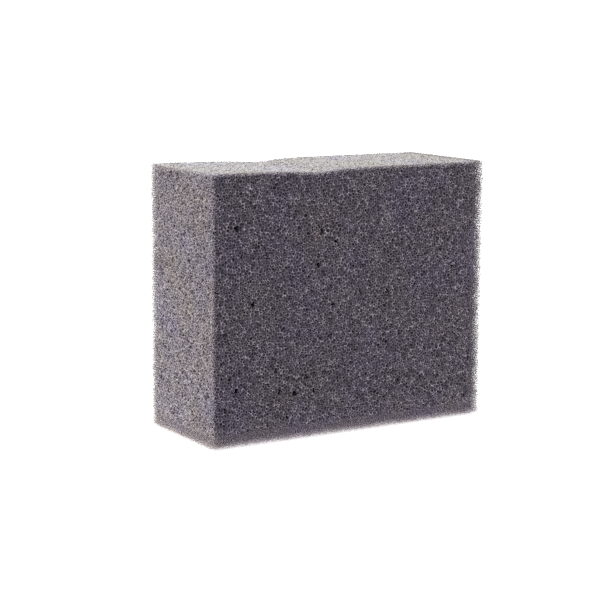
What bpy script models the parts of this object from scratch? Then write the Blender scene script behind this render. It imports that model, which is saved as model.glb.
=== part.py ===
# Sponge filter block: one slab of open-cell polyurethane foam, sawn from bun stock.
# Metres, +Z up. The origin is the middle of the base. Water flows along Y, through the
# two wide faces, and the top and the narrow sides seal against the filter's chamber.

import math

import bmesh
import bpy

# The block, measured over its cut faces
BLOCK_WIDTH = 0.120  # along X
BLOCK_DEPTH = 0.048  # along Y, the way the water flows
BLOCK_HEIGHT = 0.100  # along Z, at the top corners

# Sawn foam has no sharp edge: the open cells round it off
ARRIS_RADIUS = 0.0008
ARRIS_STEPS = 3
ARRIS_LEAST_ANGLE = math.radians(60)  # the trough's own creases are far flatter, and stay

# The saw band wandered as it cut the top, and left a shallow trough from front to back
TROUGH_DEPTH = 0.0012
TROUGH_FROM_LEFT = 0.046  # from the left side to the trough's lowest line
TROUGH_LEFT_RUN = 0.036  # the long flank, towards the left side
TROUGH_RIGHT_RUN = 0.022  # the short, steeper flank
TROUGH_STEPS = 10  # straight runs in each flank

FOAM_COLOUR = (0.090, 0.080, 0.097, 1.0)  # charcoal with a trace of violet, linear
FOAM_ROUGHNESS = 0.95

WELD_DISTANCE = 0.00001


def clear_scene():
    for old in list(bpy.data.objects):
        bpy.data.objects.remove(old)


def make_collection(name):
    collection = bpy.data.collections.new(name)
    bpy.context.scene.collection.children.link(collection)
    return collection


def foam_material():
    material = bpy.data.materials.new("charcoal_foam")
    material.use_nodes = True
    shader = material.node_tree.nodes["Principled BSDF"]
    shader.inputs["Base Color"].default_value = FOAM_COLOUR
    shader.inputs["Roughness"].default_value = FOAM_ROUGHNESS
    shader.inputs["Metallic"].default_value = 0.0
    return material


def trough_flank(run, side):
    """One flank as (distance from the lowest line, drop), from the lowest line outwards.

    The drop dies away as a parabola, so the flank meets the top with no crease,
    and the two flanks meet in a soft V.
    """
    points = []
    for step in range(TROUGH_STEPS + 1):
        share = step / TROUGH_STEPS
        points.append((side * run * share, TROUGH_DEPTH * (1 - share) ** 2))
    return points


def block_outline():
    """The block seen from the front, as (x, z) points, clockwise from the base's left."""
    left, right = -BLOCK_WIDTH / 2, BLOCK_WIDTH / 2
    lowest = left + TROUGH_FROM_LEFT
    flanks = trough_flank(TROUGH_LEFT_RUN, -1)[:0:-1] + trough_flank(TROUGH_RIGHT_RUN, 1)
    top = [(lowest + offset, BLOCK_HEIGHT - drop) for offset, drop in flanks]
    return [(left, 0), (left, BLOCK_HEIGHT)] + top + [(right, BLOCK_HEIGHT), (right, 0)]


def make_block_curve():
    """A flat outline in its own XY plane, thickened both ways and stood up on its edge."""
    curve = bpy.data.curves.new("foam_block_outline", "CURVE")
    curve.dimensions = "2D"
    curve.fill_mode = "BOTH"
    curve.extrude = BLOCK_DEPTH / 2
    points = block_outline()
    spline = curve.splines.new("POLY")
    spline.points.add(len(points) - 1)
    for point, (x, z) in zip(spline.points, points):
        point.co = (x, z, 0, 1)
    spline.use_cyclic_u = True
    outline = bpy.data.objects.new("foam_block_outline", curve)
    outline.rotation_euler = (math.radians(90), 0, 0)
    return outline


def mesh_from_curve(outline, name, collection):
    """The curve as a mesh object in the curve's place.

    Its loose caps are welded on, and each cap's triangles become one flat face,
    because the arrises can't be rounded evenly against slivers.
    """
    collection.objects.link(outline)
    bpy.context.view_layer.update()
    graph = bpy.context.evaluated_depsgraph_get()
    mesh = bpy.data.meshes.new_from_object(outline.evaluated_get(graph))
    mesh.name = name
    shape = bmesh.new()
    shape.from_mesh(mesh)
    bmesh.ops.remove_doubles(shape, verts=shape.verts, dist=WELD_DISTANCE)
    bmesh.ops.recalc_face_normals(shape, faces=shape.faces)
    caps = [face for face in shape.faces if abs(face.normal.z) > 0.5]
    bmesh.ops.dissolve_faces(shape, faces=caps)
    shape.to_mesh(mesh)
    shape.free()
    block = bpy.data.objects.new(name, mesh)
    block.matrix_world = outline.matrix_world
    collection.objects.link(block)
    bpy.data.objects.remove(outline)
    return block


def round_arrises(block):
    bevel = block.modifiers.new("arrises", "BEVEL")
    bevel.limit_method = "ANGLE"
    bevel.angle_limit = ARRIS_LEAST_ANGLE
    bevel.width = ARRIS_RADIUS
    bevel.segments = ARRIS_STEPS


def make_foam_block(collection):
    block = mesh_from_curve(make_block_curve(), "foam_block", collection)
    round_arrises(block)
    block.data.materials.clear()
    block.data.materials.append(foam_material())
    return block


def main():
    clear_scene()
    make_foam_block(make_collection("sponge_filter"))


main()
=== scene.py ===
import itertools
import math
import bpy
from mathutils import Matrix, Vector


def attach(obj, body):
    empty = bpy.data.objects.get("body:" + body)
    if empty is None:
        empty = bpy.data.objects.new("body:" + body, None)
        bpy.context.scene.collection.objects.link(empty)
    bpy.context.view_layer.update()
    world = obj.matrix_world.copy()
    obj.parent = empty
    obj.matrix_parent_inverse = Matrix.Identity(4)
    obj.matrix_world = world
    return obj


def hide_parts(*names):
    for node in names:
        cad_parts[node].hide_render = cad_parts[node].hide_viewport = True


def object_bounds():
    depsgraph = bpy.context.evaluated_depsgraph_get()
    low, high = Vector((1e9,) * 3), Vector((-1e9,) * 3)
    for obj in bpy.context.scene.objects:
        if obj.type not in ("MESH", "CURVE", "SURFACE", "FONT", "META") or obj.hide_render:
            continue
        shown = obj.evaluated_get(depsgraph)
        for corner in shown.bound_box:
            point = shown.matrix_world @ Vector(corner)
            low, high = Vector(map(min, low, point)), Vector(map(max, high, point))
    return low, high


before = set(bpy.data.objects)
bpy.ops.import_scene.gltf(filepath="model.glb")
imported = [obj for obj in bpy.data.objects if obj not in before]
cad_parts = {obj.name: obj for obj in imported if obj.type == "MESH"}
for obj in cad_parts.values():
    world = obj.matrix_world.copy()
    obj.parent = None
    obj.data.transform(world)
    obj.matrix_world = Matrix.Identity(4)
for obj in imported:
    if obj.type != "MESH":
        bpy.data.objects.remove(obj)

from types import SimpleNamespace

import bmesh
import bpy
import numpy as np
from mathutils import Euler, Matrix, Vector

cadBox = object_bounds()
cadLow, cadHigh = cadBox
cadMiddle = (cadLow + cadHigh) / 2
cadSize = cadHigh - cadLow
mm = 0.001
walls = ("left", "front", "bottom", "right", "back", "top")  # opposite walls are three apart
topWall = walls.index("top")
inward = np.concatenate([np.eye(3), -np.eye(3)])  # the way in from each wall


# the linear colour that a shader takes, from an sRGB hex value
def hexColour(value):
    channels = [int(value[at:at + 2], 16) / 255 for at in (1, 3, 5)]
    linear = [c / 12.92 if c <= 0.04045 else ((c + 0.055) / 1.055) ** 2.4 for c in channels]
    return (*linear, 1.0)


# a shader node with its settings, and its inputs as values or as other nodes' outputs
def addNode(tree, kind, settings=None, inputs=None):
    node = tree.nodes.new("ShaderNode" + kind)
    for name, value in (settings or {}).items():
        setattr(node, name, value)
    for name, value in (inputs or {}).items():
        if isinstance(value, bpy.types.NodeSocket):
            tree.links.new(value, node.inputs[name])
        else:
            node.inputs[name].default_value = value
    return node


# right, up and back for a view from this bearing, height and lean, in degrees
def viewAxes(azimuth, elevation, roll=0.0):
    turn, rise, lean = map(math.radians, (azimuth, elevation, roll))
    back = Vector((math.sin(turn) * math.cos(rise), -math.cos(turn) * math.cos(rise), math.sin(rise)))
    level = Vector((math.cos(turn), math.sin(turn), 0))
    upright = back.cross(level)
    right = level * math.cos(lean) + upright * math.sin(lean)
    up = upright * math.cos(lean) - level * math.sin(lean)
    return right, up, back


def placeFacing(thing, place, axes):
    turned = Matrix(axes).transposed().to_4x4()
    thing.matrix_world = Matrix.Translation(place) @ turned


camera = {
    "azimuth": -31.8,
    "elevation": 9.5,
    "roll": 0.37,
    "distance": 0.6665,
    "lens": 103.4,
    "aside": (-7.2 * mm, -3.4 * mm),  # the view's middle lies left of the block's, and below it
}


def makeCamera():
    right, up, back = axes = viewAxes(camera["azimuth"], camera["elevation"], camera["roll"])
    aside, above = camera["aside"]
    eye = bpy.data.objects.new("camera", bpy.data.cameras.new("camera"))
    eye.data.lens = camera["lens"]
    bpy.context.scene.collection.objects.link(eye)
    placeFacing(eye, cadMiddle + back * camera["distance"] + right * aside + up * above, axes)
    bpy.context.scene.camera = eye
    print("camera: in place")


def deselectAll():
    for other in list(bpy.context.selected_objects):
        other.select_set(False)


def selectOnly(thing):
    deselectAll()
    thing.select_set(True)
    bpy.context.view_layer.objects.active = thing


def editMode(on):
    bpy.ops.object.mode_set(mode="EDIT" if on else "OBJECT")


def readVertices(mesh, what="co"):
    values = np.empty(len(mesh.vertices) * 3, np.float32)
    mesh.vertices.foreach_get(what, values)
    return values.reshape(-1, 3).astype(np.float64)


def writeVertices(mesh, places):
    mesh.vertices.foreach_set("co", places.astype(np.float32).ravel())
    mesh.update()


# for each corner of each face, the vertex that it lies on
def readCorners(mesh):
    corner = np.empty(len(mesh.loops), np.int32)
    mesh.loops.foreach_get("vertex_index", corner)
    return corner


def saveAttribute(mesh, name, values):
    layer = mesh.attributes.new(name, "FLOAT", "POINT")
    layer.data.foreach_set("value", values.astype(np.float32))


def readAttribute(mesh, name):
    values = np.empty(len(mesh.vertices), np.float32)
    mesh.attributes[name].data.foreach_get("value", values)
    return values


# an empty geometry node group, with its way in and its way out
def geometryGroup(name):
    group = bpy.data.node_groups.new(name, "GeometryNodeTree")
    for way in ("INPUT", "OUTPUT"):
        group.interface.new_socket("Geometry", in_out=way, socket_type="NodeSocketGeometry")
    return group, group.nodes.new("NodeGroupInput"), group.nodes.new("NodeGroupOutput")


# runs a node group on the active object, for good
def applyGroup(thing, group):
    modifier = thing.modifiers.new(group.name, "NODES")
    modifier.node_group = group
    bpy.ops.object.modifier_apply(modifier=modifier.name)


# a few long waves in random directions, from about -1 to 1
def slowNoise(places, size, seed):
    random = np.random.default_rng(seed)
    total = np.zeros(len(places))
    for wave in range(6):
        heading = random.normal(size=3)
        heading *= random.uniform(0.7, 1.4) / np.linalg.norm(heading)
        total += np.sin(places @ heading * 2 * math.pi / size + random.uniform(0, 2 * math.pi))
    return total / 3


# three such noises, for moving points along all three axes
def slowDrift(places, size, seed):
    return np.stack([slowNoise(places, size, seed + axis) for axis in range(3)], axis=1)


def unit(vectors):
    return vectors / np.maximum(np.linalg.norm(vectors, axis=1, keepdims=True), 1e-12)


# what is left of the vectors along a surface with these normals
def alongSurface(vectors, normals):
    return vectors - normals * np.sum(vectors * normals, axis=1, keepdims=True)


foam = {
    "cellPitch": 1.02 * mm,  # from one cell to the next, 25 to the inch
    "scatter": 0.42,  # how far the cells wander off an even spacing, as a share of it
    "bend": 0.8 * mm,  # long waves in the rows of cells, so that they don't read as rows
    "bendLength": 14 * mm,
    "mergedShare": 0.015,  # struts that are missing, so that two cells are one
    "strutWidth": 0.20 * mm,
    "strutHeight": 0.12 * mm,  # from a strut's crest to where the pit begins
    "pitDepth": (0.6 * mm, 1.6 * mm),  # the cells that the saw opened, from shallow to deep
    "pitSlant": 0.28,  # how far a pit runs sideways, as a share of its depth
    "topPits": 0.5,  # the share of their depth that the top's pits lack
    "poreDepth": 3.8 * mm,
    "sink": 0.6 * mm,  # how far a strut may lie below the sawn face
    "sinkLength": 3.1 * mm,  # the size of the patches that lie lower together
    "endLength": 0.3 * mm,  # cut strut ends that stand up off the face
    "endShare": 0.12,
    "paintedGlintShare": 0.24,  # painted highlight: junctions painted bright as glints, for those that catch the light
    "paintedLitTone": 0.55,  # painted light: the tone that the strongly lit cells are painted towards
    "paintedLitTop": 0.8,  # painted light: how far the top's cells are painted towards it, and the left side's
    "paintedLitLeft": 0.5,
    "paintedFloorLight": 0.75,  # painted light: the tone added to the lowest cells for the floor's light
    "paintedFloorLightHeight": 2.6 * mm,
    "dyePatches": (34 * mm, 13 * mm),  # patches of bluer and of warmer dye, large and small
    "bakeRange": 2.8,  # the highest tone that the bake map holds
    "seed": 7,
}

# the open struts along the arrises, where light comes through the foam
arrisNet = {
    "reach": 2.6 * mm,  # how far in from the sharp arris, over both faces together
    "frayedReach": 4.3 * mm,
    "frayed": ["front right", "back left", "front bottom", "left bottom"],
    "crispReach": 0.9 * mm,
    "crisp": ["front left", "front top", "left top"],
    "paintedCrispHighlight": 0.5,  # painted highlight: the tone added along the crisp arrises, which stand in full light
    "rough": 0.12 * mm,  # how uneven the set-back foam is
    "roughLength": 5 * mm,
    "cellWidth": 1.25 * mm,
    "turned": (0.5, 0.35, 0.7),  # the cells lie askew to the faces, in radians
    "sway": 0.35 * mm,  # how far the cells wander off an even pattern
    "swayLength": 8 * mm,
    "scatter": 0.2 * mm,  # how far each junction strays by itself
    "strutRadius": 0.068 * mm,
    "looseEnd": 0.8 * mm,  # how far a cut strut may stand off the face
    "standing": (0.65, 0.65, 0.65, 1.4, 0.65, 0.25),  # the share of that on each of the six walls
    "overlap": 0.4 * mm,  # how far the open struts run on into the set-back foam
    "tone": (0.3, 1.1),  # from dark struts to bright ones
    "toneDrift": 0.4,  # neighbouring struts are bright or dark together
    "seed": 11,
}

# big pores on the front: how far right of the middle, how far above the base, and the radius, in mm
frontPores = [
    (-50, 80, 0.95), (-14, 76.5, 1.0), (-50, 21, 1.0), (-43, 52, 0.9), (-25, 17, 1.0), (-20, 23, 0.85),
    (-47.5, 70, 0.9), (-32, 18.5, 0.95), (-55, 14, 0.9), (-7.5, 72.5, 0.85), (-15.5, 64, 0.7),
    (-17, 17.5, 0.85), (-53, 25.5, 0.7), (14, 47, 0.7), (-29, 8, 0.7), (-31, 39, 0.7), (-8.5, 49, 0.7),
    (-32.5, 4, 0.7),
]

topLine = {}  # the wavy top's height along the block, which readTop fills in


# cuts every edge that runs along one axis into equal lengths
def splitAlong(block, axis, pieces):
    for cuts in (1, pieces // 2 - 1):  # one call makes a hundred cuts at most
        bpy.ops.mesh.select_all(action="DESELECT")
        shape = bmesh.from_edit_mesh(block.data)
        for edge in shape.edges:
            run = edge.verts[1].co - edge.verts[0].co
            edge.select_set(abs(run[axis]) > 0.99 * run.length)
        bmesh.update_edit_mesh(block.data)
        bpy.ops.mesh.subdivide(number_cuts=cuts)


# a gridded block, its points scattered over the surface of the CAD block
def scatteredBlank(random):
    deselectAll()
    bpy.ops.mesh.primitive_cube_add(size=1, location=cadMiddle, scale=cadSize)
    block = bpy.context.object
    block.name = block.data.name = "open_cell_foam"
    bpy.ops.object.transform_apply(location=True, rotation=False, scale=True)
    editMode(True)
    bpy.ops.mesh.select_mode(type="EDGE")
    for axis in range(3):
        splitAlong(block, axis, round(cadSize[axis] / foam["cellPitch"]))
    editMode(False)
    places = readVertices(block.data)
    places += foam["bend"] * slowDrift(places, foam["bendLength"], 51)
    places += random.uniform(-1, 1, places.shape) * foam["scatter"] * foam["cellPitch"]
    writeVertices(block.data, places)
    onto = block.modifiers.new("onto_the_block", "SHRINKWRAP")
    onto.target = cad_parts["foam_block"]
    bpy.ops.object.modifier_apply(modifier=onto.name)
    readTop(readVertices(block.data))
    writeVertices(block.data, setBackArrises(readVertices(block.data)))
    return block


# the height of the wavy top along the block, from points that lie on it
def readTop(places):
    lowest = cadHigh.z - 2 * mm  # more than the wave's depth below the corners
    nearMiddle = np.abs(places[:, 1] - cadMiddle.y) < cadSize.y / 4
    clear = np.abs(places[:, 0]) < cadHigh.x - 1 * mm  # of the rounded arrises
    line = places[nearMiddle & clear & (places[:, 2] > lowest)]
    line = line[np.argsort(line[:, 0])]
    topLine["x"], topLine["z"] = line[:, 0], line[:, 2]


# how far inside each of the six walls the points lie
def wallDistances(places):
    low, high = np.array(cadLow), np.array(cadHigh)
    inside = np.concatenate([places - low, high - places], axis=1)
    inside[:, topWall] = np.interp(places[:, 0], topLine["x"], topLine["z"]) - places[:, 2]
    return inside


# the pairs of walls that meet in an arris, and how far in its open zone reaches
def arrisReaches():
    reaches = []
    for one, other in itertools.combinations(range(6), 2):
        if other - one != 3:
            reach = arrisNet["reach"]
            for kind in ("frayed", "crisp"):
                if any({walls[one], walls[other]} == set(pair.split()) for pair in arrisNet[kind]):
                    reach = arrisNet[kind + "Reach"]
            reaches.append((one, other, reach))
    return reaches


# how far inside the arrises' open zones the points lie, negative beyond them, and the nearest zone
def arrisDepth(places):
    inside = wallDistances(places)
    depths = [reach - inside[:, one] - inside[:, other] for one, other, reach in arrisReaches()]
    return np.max(depths, axis=0), np.argmax(depths, axis=0)


# pushes the points in along both faces until they are out of the open zones
def setBackArrises(places):
    places = places.copy()
    rough = arrisNet["rough"] * slowNoise(places, arrisNet["roughLength"], 21)
    for push in range(12):  # each makes up half of what is still lacking
        inside = wallDistances(places)
        for one, other, reach in arrisReaches():
            lack = np.clip(reach + rough - inside[:, one] - inside[:, other], 0, None)
            places += (inward[one] + inward[other]) * (lack * 0.25)[:, None]
    return places


# the scattered points become cells with three struts at each junction, as in real foam
def netOfCells(block):
    editMode(True)
    bpy.ops.mesh.select_all(action="SELECT")
    bpy.ops.mesh.quads_convert_to_tris(quad_method="SHORTEST_DIAGONAL")
    bpy.ops.mesh.beautify_fill(angle_limit=math.pi)
    editMode(False)
    group, source, result = geometryGroup("cells_round_points")
    dual = group.nodes.new("GeometryNodeDualMesh")
    group.links.new(source.outputs[0], dual.inputs[0])
    group.links.new(dual.outputs[0], result.inputs[0])
    applyGroup(block, group)


# which of the places lie within so many radii of a big pore's middle
def inPores(places, radii):
    inside = np.zeros(len(places), bool)
    for x, z, radius in frontPores:
        middle = (cadMiddle.x + x * mm, cadLow.y, cadLow.z + z * mm)
        inside |= np.linalg.norm(places - middle, axis=1) < radius * radii * mm
    return inside


# joins the cells inside each big pore, and here and there two neighbours
def mergeCells(block, random):
    editMode(True)
    bpy.ops.mesh.select_mode(type="FACE")
    bpy.ops.mesh.select_all(action="DESELECT")
    shape = bmesh.from_edit_mesh(block.data)
    centres = np.array([face.calc_center_median() for face in shape.faces])
    for face, chosen in zip(shape.faces, inPores(centres, 1.0)):
        face.select_set(bool(chosen))
    bmesh.update_edit_mesh(block.data)
    bpy.ops.mesh.dissolve_faces()
    bpy.ops.mesh.select_mode(type="EDGE")
    bpy.ops.mesh.select_all(action="DESELECT")
    shape = bmesh.from_edit_mesh(block.data)
    middles = np.array([(edge.verts[0].co + edge.verts[1].co) / 2 for edge in shape.edges])
    merged = random.uniform(0, 1, len(middles)) < foam["mergedShare"]
    merged &= ~inPores(middles, 2.5)  # a pore's own rim stays whole
    for edge, chosen in zip(shape.edges, merged):
        edge.select_set(bool(chosen))
    bmesh.update_edit_mesh(block.data)
    bpy.ops.mesh.dissolve_edges(use_verts=False)
    editMode(False)


# rings of faces inside every cell, one inside another, closed by a point in the middle
def ringCells(block):
    editMode(True)
    bpy.ops.mesh.select_mode(type="FACE")
    bpy.ops.mesh.select_all(action="SELECT")
    for ring in range(2):
        bpy.ops.mesh.inset(thickness=0.02 * mm, use_individual=True)
    bpy.ops.mesh.poke()  # makeFoam then moves every point to its own place
    editMode(False)


# normals, with the wall's own in place of any that a fold in the net has turned inwards
def keptOutward(normals, places):
    least = 0.2  # the cosine of the widest angle off the wall's normal that is kept
    wall = -inward[np.argmin(wallDistances(places), axis=1)]
    folded = np.sum(normals * wall, axis=1) < least
    return np.where(folded[:, None], wall, normals)


# the net's junctions and cells, and for each corner of a cell its junction and its cell
def readNet(mesh):
    net = SimpleNamespace()
    net.junctions = readVertices(mesh)
    net.outward = keptOutward(readVertices(mesh, "normal"), net.junctions)
    net.count = np.empty(len(mesh.polygons), np.int32)
    mesh.polygons.foreach_get("loop_total", net.count)
    net.corner = readCorners(mesh)
    net.cell = np.repeat(np.arange(len(net.count)), net.count)
    net.starts = np.concatenate([[0], np.cumsum(net.count)[:-1]])
    net.centre = np.add.reduceat(net.junctions[net.corner], net.starts) / net.count[:, None]
    facing = np.empty(len(net.count) * 3, np.float32)
    mesh.polygons.foreach_get("normal", facing)
    net.facing = keptOutward(facing.reshape(-1, 3).astype(np.float64), net.centre)
    spread = np.linalg.norm(net.junctions[net.corner] - net.centre[net.cell], axis=1)
    net.radius = np.add.reduceat(spread, net.starts) / net.count
    net.pore = inPores(net.centre, 1.0)
    return net


# the junctions as the saw left them: most sunk a little, some with a cut end that stands up
def sawnJunctions(net, random):
    total = len(net.junctions)
    patches = 0.5 + 0.5 * slowNoise(net.junctions, foam["sinkLength"], 3)
    sunk = foam["sink"] * (0.8 * random.beta(1.3, 2.2, total) + 0.2 * patches)
    stands = random.uniform(0, 1, total) < foam["endShare"]
    onTop = np.clip(net.outward[:, 2], 0, 1)
    ends = stands * random.uniform(0.35, 1.0, total) * foam["endLength"] * (1 - 0.7 * onTop)
    sideways = alongSurface(random.normal(size=net.junctions.shape), net.outward)
    lean = unit(sideways) * random.uniform(0, 0.5, total)[:, None]
    tops = net.junctions + net.outward * (ends - sunk)[:, None] + lean * ends[:, None]
    return tops, sunk


# how deep each cell's pit is, and which way it runs; bigger cells are deeper
def pitShapes(net, random):
    shallow, deep = foam["pitDepth"]
    depth = shallow + (deep - shallow) * random.beta(1.4, 1.8, len(net.count))
    big = np.clip(net.radius / np.median(net.radius) - 1.15, 0, 1)
    depth *= 1 + 0.6 * big
    depth[net.pore] = foam["poreDepth"]
    depth *= 1 - foam["topPits"] * np.clip(net.facing[:, 2], 0, 1)
    slant = alongSurface(random.normal(size=net.centre.shape) * foam["pitSlant"], net.facing)
    return depth, slant


# two rings of points inside each cell, down the wall of its pit, and the pit's lowest point
def pitPlaces(net, sunk, depth, slant, random):
    corner, cell = net.corner, net.cell
    rim = np.clip(foam["strutWidth"] / 2 / net.radius, 0.08, 0.34)
    rim = rim * random.uniform(0.75, 1.3, len(net.count))
    into = net.centre[cell] - net.junctions[corner]
    down = unit(0.5 * net.facing[cell] + 0.5 * net.outward[corner])

    def ring(inwards, below):
        aside = slant[cell] * below[:, None]
        drop = down * (below + sunk[corner])[:, None]
        return net.junctions[corner] + into * inwards[:, None] + aside - drop

    upper = ring(rim[cell], foam["strutHeight"] * random.uniform(0.5, 1.4, len(cell)))
    lower = ring(1.4 * rim[cell], 0.75 * depth[cell])
    sunkCell = np.add.reduceat(sunk[corner], net.starts) / net.count
    pit = net.centre + slant * depth[:, None] - net.facing * (1.05 * depth + sunkCell)[:, None]
    return [upper, lower, pit]


# the tone of every point, much of it painted light and shade: 0 for the painted shade in the pits, up to
# 1 on a strut, more on a painted glint, -1 for the painted shade in a big pore
def foamTones(net, sunk, random):
    total = len(net.junctions)
    paintedGlint = random.uniform(0, 1, total) < foam["paintedGlintShare"]
    # painted shade: struts that lie lower are painted darker
    bright = (0.12 + 0.68 * random.uniform(0, 1, total) ** 1.5) * (1 - 0.4 * sunk / foam["sink"])
    # painted highlight: some junctions painted brighter as glints
    bright = np.where(paintedGlint, 1 + 1.2 * random.uniform(0, 1, total), bright)
    inPore = net.pore[net.cell]
    # painted shade down each pit's wall to its bottom, and near black in the big pores
    upper = np.where(inPore, -0.9, 0.4 * bright[net.corner])
    lower = np.where(inPore, -1, 0.1)
    tones = np.concatenate([bright, upper, lower, np.where(net.pore, -1, 0)])
    # painted light: the tones of the top, and a little those of the left side, are drawn towards one
    # even tone, for the bright light that reaches into their cells
    around = net.facing[net.cell]
    normals = np.concatenate([net.outward, around, around, net.facing])
    paintedLitShare = foam["paintedLitTop"] * np.clip(normals[:, 2], 0, 1)
    paintedLitShare = paintedLitShare + foam["paintedLitLeft"] * np.clip(-normals[:, 0], 0, 1)
    return tones + (foam["paintedLitTone"] - tones) * paintedLitShare


# painted light: the lowest cells are painted lighter, for the floor's light that comes up through them
def paintedFloorLight(places):
    height = np.clip(places[:, 2] - cadLow.z, 0, None)
    return foam["paintedFloorLight"] * np.exp(-height / foam["paintedFloorLightHeight"])


# how warm the colour is: the dye's slow patches, and fully warm at the outermost arrises
def colourMottle(places):
    large, small = foam["dyePatches"]
    patches = 0.6 * slowNoise(places, large, 61) + 0.4 * slowNoise(places, small, 62)
    pale = np.clip(arrisDepth(places)[0] / (2 * mm) - 0.8, 0, 1)
    return np.maximum(np.clip(0.4 + 0.32 * patches, 0, 0.8), pale)


# a map for baking, laid out by tone across and by mottle upwards, since no colour depends on
# anything else
def layOutBakeMap(mesh):
    for layer in list(mesh.uv_layers):
        mesh.uv_layers.remove(layer)
    across = np.clip((readAttribute(mesh, "strut") + 1) / (foam["bakeRange"] + 1), 0, 1)
    upwards = readAttribute(mesh, "mottle")
    margin, side = 0.02, 0.3  # of the whole map
    places = margin + side * np.stack([across, upwards], axis=1)[readCorners(mesh)]
    layer = mesh.uv_layers.new(name="OFBake", do_init=False)
    layer.uv.foreach_set("vector", places.astype(np.float32).ravel())


def makeFoam():
    random = np.random.default_rng(foam["seed"])
    block = scatteredBlank(random)
    netOfCells(block)
    mergeCells(block, random)
    print("foam: net of", len(block.data.polygons), "cells")

    net = readNet(block.data)
    tops, sunk = sawnJunctions(net, random)
    depth, slant = pitShapes(net, random)
    places = np.concatenate([tops] + pitPlaces(net, sunk, depth, slant, random))
    ringCells(block)
    mesh = block.data
    if len(places) != len(mesh.vertices):
        raise ValueError("the rings don't match the cells")
    writeVertices(mesh, places)
    # painted light and shade: the tones, with painted floor light at the bottom
    saveAttribute(mesh, "strut", foamTones(net, sunk, random) + paintedFloorLight(places))

    addArrisNet(block)
    saveAttribute(mesh, "mottle", colourMottle(readVertices(mesh)))
    layOutBakeMap(mesh)
    selectOnly(block)
    bpy.ops.object.shade_smooth()
    mesh.calc_loop_triangles()
    print("foam:", len(mesh.loop_triangles), "triangles")
    return block


# corners of packed cells with fourteen sides each, in quarters of the cells' spacing
def packedCells(low, high):
    spans = [np.arange(math.floor(first), math.ceil(last) + 1) for first, last in zip(low, high)]
    kinds = {"odd": lambda n: n % 2 == 1, "whole": lambda n: n % 4 == 0, "half": lambda n: n % 4 == 2}
    found = []
    for order in itertools.permutations(kinds):
        kept = [span[kinds[kind](span)] for span, kind in zip(spans, order)]
        found.append(np.stack(np.meshgrid(*kept, indexing="ij"), axis=-1).reshape(-1, 3))
    return np.concatenate(found)


# pairs of corners that are one edge apart
def cellEdges(corners):
    wide = 4096  # more steps than cross the block, so that each corner has its own key
    weights = np.array([wide * wide, wide, 1])
    keys = (corners + wide // 2) @ weights
    order = np.argsort(keys)
    ranked = keys[order]
    pairs = []
    for step in ((1, 1, 0), (1, -1, 0), (1, 0, 1), (1, 0, -1), (0, 1, 1), (0, 1, -1)):
        wanted = keys + np.array(step) @ weights
        spot = np.minimum(np.searchsorted(ranked, wanted), len(ranked) - 1)
        there = ranked[spot] == wanted
        pairs.append(np.stack([np.nonzero(there)[0], order[spot[there]]], axis=1))
    return np.concatenate(pairs)


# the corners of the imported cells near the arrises, and how a step between corners lies in the block
def arrisCorners():
    lattice = np.array(Euler(arrisNet["turned"]).to_matrix()) * arrisNet["cellWidth"] / 4
    spare = 2.4 * mm  # cells that begin outside the zones reach into them
    lengths = 8  # short boxes hold few corners that aren't wanted
    found = []
    for one, other, reach in arrisReaches():
        ends = np.array([cadLow, cadHigh]) + np.array([[-spare], [spare]])
        for wall in (one, other):  # the box ends just past the open zone
            away = 1 if wall < 3 else 0
            ends[away, wall % 3] = ends[1 - away, wall % 3] + (reach + 2 * spare) * (2 * away - 1)
        along = 3 - one % 3 - other % 3
        marks = np.linspace(*ends[:, along], lengths + 1)
        for start, stop in zip(marks[:-1], marks[1:]):
            ends[:, along] = start, stop
            box = np.stack(np.meshgrid(*ends.T), axis=-1).reshape(-1, 3) @ np.linalg.inv(lattice)
            corners = packedCells(box.min(axis=0), box.max(axis=0))
            found.append(corners[arrisDepth(corners @ lattice)[0] > -spare])
    return np.unique(np.concatenate(found), axis=0), lattice


# where the open struts begin and end, and which arris each belongs to
def arrisStruts(random):
    corners, lattice = arrisCorners()
    pairs = cellEdges(corners)
    places = corners @ lattice
    sway = slowDrift(places, arrisNet["swayLength"], 31)
    places = places + arrisNet["sway"] * sway + random.uniform(-1, 1, places.shape) * arrisNet["scatter"]

    # a strut that leaves the block is cut where it crosses a face, or a little beyond
    inside = wallDistances(places)
    out = inside.min(axis=1) < 0
    pairs = pairs[~(out[pairs[:, 0]] & out[pairs[:, 1]])]
    pairs = np.where(out[pairs[:, :1]], pairs[:, ::-1], pairs)
    begins, ends = places[pairs[:, 0]], places[pairs[:, 1]]
    near, far = inside[pairs[:, 0]], inside[pairs[:, 1]]
    crossing = np.where(far < 0, near / np.maximum(near - far, 1e-9), 1.0).min(axis=1)
    length = np.linalg.norm(ends - begins, axis=1)
    loose = random.uniform(0, 1, len(pairs)) ** 1.5 * arrisNet["looseEnd"] / length
    loose *= np.array(arrisNet["standing"])[np.argmin(far, axis=1)]
    kept = np.where(crossing < 1, crossing + loose, 1)
    ends = begins + (ends - begins) * kept[:, None]
    depth, zone = arrisDepth((begins + ends) / 2)
    held = depth > -arrisNet["overlap"]
    return begins[held], ends[held], zone[held]


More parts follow.
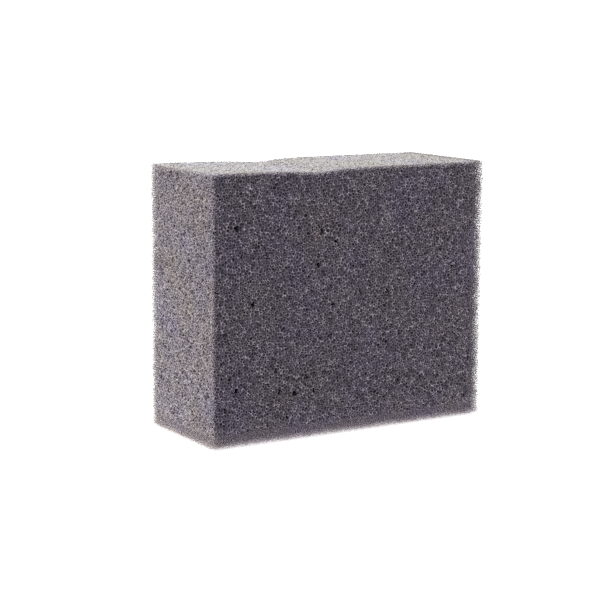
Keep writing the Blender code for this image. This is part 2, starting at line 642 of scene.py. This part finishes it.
# turns the edges of the active object into thin three-sided tubes
def edgesToTubes(struts):
    group, source, result = geometryGroup("struts_from_edges")
    lines = group.nodes.new("GeometryNodeMeshToCurve")
    width = group.nodes.new("GeometryNodeInputNamedAttribute")
    width.data_type = "FLOAT"
    width.inputs["Name"].default_value = "thickness"
    profile = group.nodes.new("GeometryNodeCurvePrimitiveCircle")
    profile.inputs["Resolution"].default_value = 3
    profile.inputs["Radius"].default_value = 1
    tubes = group.nodes.new("GeometryNodeCurveToMesh")
    tubes.inputs["Fill Caps"].default_value = True
    group.links.new(source.outputs[0], lines.inputs["Mesh"])
    group.links.new(lines.outputs[0], tubes.inputs["Curve"])
    group.links.new(width.outputs["Attribute"], tubes.inputs["Scale"])
    group.links.new(profile.outputs["Curve"], tubes.inputs["Profile Curve"])
    group.links.new(tubes.outputs[0], result.inputs[0])
    applyGroup(struts, group)
    struts.data.attributes.remove(struts.data.attributes["thickness"])


def addArrisNet(block):
    random = np.random.default_rng(arrisNet["seed"])
    begins, ends, zone = arrisStruts(random)
    points = np.stack([begins, ends], axis=1).reshape(-1, 3)
    mesh = bpy.data.meshes.new("arris_struts")
    mesh.vertices.add(len(points))
    mesh.edges.add(len(begins))
    mesh.edges.foreach_set("vertices", np.arange(len(points), dtype=np.int32))
    writeVertices(mesh, points)
    thickness = arrisNet["strutRadius"] * random.uniform(0.75, 1.3, len(begins))
    saveAttribute(mesh, "thickness", np.repeat(thickness, 2))
    # painted highlight along the crisp arrises, with tone that drifts at random and painted floor light
    # at the bottom
    crisp = [reach == arrisNet["crispReach"] for one, other, reach in arrisReaches()]
    lit = arrisNet["paintedCrispHighlight"] * np.repeat(np.array(crisp)[zone], 2)
    lit = lit + arrisNet["toneDrift"] * slowNoise(points, arrisNet["cellWidth"], 71)
    saveAttribute(mesh, "strut", random.uniform(*arrisNet["tone"], len(points)) + paintedFloorLight(points) + lit)
    struts = bpy.data.objects.new("arris_struts", mesh)
    bpy.context.scene.collection.objects.link(struts)
    selectOnly(struts)
    edgesToTubes(struts)
    print("foam:", len(begins), "open struts along the arrises")
    block.select_set(True)
    bpy.context.view_layer.objects.active = block
    bpy.ops.object.join()


foamLook = {
    # painted highlight: the colour of the painted glints
    "paintedGlint": "#b8adbd",
    "strut": "#8f859d",
    # painted shade: the pit colour, and near black for the big pores
    "pit": "#4a4351",
    "pore": "#141217",
    "warm": "#998c84",
    "ior": 1.5,
    "roughness": (0.72, 0.45),  # from the cells' insides to the cut strut ends
    "grain": 0.15 * mm,  # the struts' skin, drawn coarser than it is so that it shows
    "grainHeight": 0.004 * mm,
}


# sawn polyurethane foam, dyed through: satin struts round cells with painted shade, near black painted
# shade in the big pores, and painted glints on some cut ends
def foamMaterial():
    material = bpy.data.materials.new("sawn_charcoal_polyurethane_foam")
    material.use_nodes = True
    tree = material.node_tree
    shader = tree.nodes["Principled BSDF"]
    strut = addNode(tree, "Attribute", {"attribute_name": "strut"}).outputs["Fac"]
    mottle = addNode(tree, "Attribute", {"attribute_name": "mottle"}).outputs["Fac"]
    # the dye runs a little bluer and a little warmer in patches, and the outermost arrises are fully
    # warm
    tone = addNode(tree, "Mix", {"data_type": "RGBA"}, {
        0: mottle, 6: hexColour(foamLook["strut"]), 7: hexColour(foamLook["warm"])})
    # painted shade: the pit colour at tone 0, rising to the strut colour at 1
    body = addNode(tree, "Mix", {"data_type": "RGBA"}, {
        0: strut, 6: hexColour(foamLook["pit"]), 7: tone.outputs[2]})
    # painted highlight: the glint colour above tone 1
    above = addNode(tree, "Math", {"operation": "SUBTRACT"}, {0: strut, 1: 1.0})
    paintedGlinting = addNode(tree, "Mix", {"data_type": "RGBA"}, {
        0: above.outputs[0], 6: body.outputs[2], 7: hexColour(foamLook["paintedGlint"])})
    # painted shade: near black where the tone falls below 0, in the big pores
    below = addNode(tree, "Math", {"operation": "MULTIPLY"}, {0: strut, 1: -1.0})
    holed = addNode(tree, "Mix", {"data_type": "RGBA"}, {
        0: below.outputs[0], 6: paintedGlinting.outputs[2], 7: hexColour(foamLook["pore"])})
    tree.links.new(holed.outputs[2], shader.inputs["Base Color"])
    inside, cut = foamLook["roughness"]
    gloss = addNode(tree, "MapRange", {}, {
        "Value": strut, "From Min": 0.0, "From Max": 2.0, "To Min": inside, "To Max": cut})
    tree.links.new(gloss.outputs["Result"], shader.inputs["Roughness"])
    # the struts' skin is finely uneven
    where = addNode(tree, "TexCoord").outputs["Object"]
    grain = addNode(tree, "TexNoise", {}, {
        "Vector": where, "Scale": 1 / foamLook["grain"], "Detail": 1.0})
    bump = addNode(tree, "Bump", {}, {
        "Height": grain.outputs["Fac"], "Strength": 1.0, "Distance": foamLook["grainHeight"]})
    tree.links.new(bump.outputs["Normal"], shader.inputs["Normal"])
    shader.inputs["IOR"].default_value = foamLook["ior"]
    print("foam: material", material.name)
    return material


# each lamp's place from the block's middle, the side of its square and its power in watts
lights = {
    "top": {"place": (-0.05, 0.32, 0.7), "size": 0.22, "power": 14.5, "colour": (0.88, 1, 0.78)},
    "left": {"place": (-0.34, 0.14, -0.09), "size": 0.24, "power": 2.3, "colour": (0.95, 1, 0.81)},
    "front": {"place": (0.35, -0.6, -0.02), "size": 0.4, "power": 0.6, "colour": (1, 1, 1)},
}


# the lights shine on the block alone, so that the floor stays an even white
def makeLights(block):
    lit = bpy.data.collections.new("lit_by_lamps")
    lit.objects.link(block)
    for name, light in lights.items():
        lamp = bpy.data.objects.new(name + "_light", bpy.data.lights.new(name + "_light", "AREA"))
        lamp.data.size = light["size"]
        lamp.data.energy = light["power"]
        lamp.data.color = light["colour"]
        lamp.light_linking.receiver_collection = lit
        bpy.context.scene.collection.objects.link(lamp)
        away = Vector(light["place"])
        back = away.normalized()
        right = Vector((0, 1, 0)).cross(back).normalized()
        placeFacing(lamp, cadMiddle + away, (right, back.cross(right), back))
    print("lights:", ", ".join(lights))


room = {
    "skyStrength": 1.12,
    "floorSize": 8,
    "paper": "#f6f6f6",
    "paperRoughness": 0.9,
    "paperGlow": 0.5,  # a white table lit from all round
}


def makeRoom():
    scene = bpy.context.scene
    scene.world = bpy.data.worlds.new("white_room")
    scene.world.use_nodes = True
    sky = scene.world.node_tree.nodes["Background"]
    sky.inputs["Color"].default_value = (1, 1, 1, 1)
    sky.inputs["Strength"].default_value = room["skyStrength"]
    scene.view_settings.view_transform = "Standard"
    scene.cycles.use_denoising = False  # it would smear the struts together
    deselectAll()
    # the block stands on the ends of its cut struts
    bpy.ops.mesh.primitive_plane_add(size=room["floorSize"], location=(0, 0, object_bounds()[0].z))
    floor = bpy.context.object
    floor.name = floor.data.name = "floor"
    paint = bpy.data.materials.new("matte_white_paper")
    paint.use_nodes = True
    shader = paint.node_tree.nodes["Principled BSDF"]
    shader.inputs["Base Color"].default_value = hexColour(room["paper"])
    shader.inputs["Roughness"].default_value = room["paperRoughness"]
    shader.inputs["Emission Color"].default_value = (1, 1, 1, 1)
    shader.inputs["Emission Strength"].default_value = room["paperGlow"]
    floor.data.materials.append(paint)
    floor.visible_diffuse = False
    floor.visible_glossy = False
    floor.visible_shadow = False  # the low left light comes up through it
    print("room: white floor and sky")


makeCamera()
foamBlock = makeFoam()
foamBlock.data.materials.append(foamMaterial())
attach(foamBlock, "root")
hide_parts("foam_block")
makeLights(foamBlock)
makeRoom()
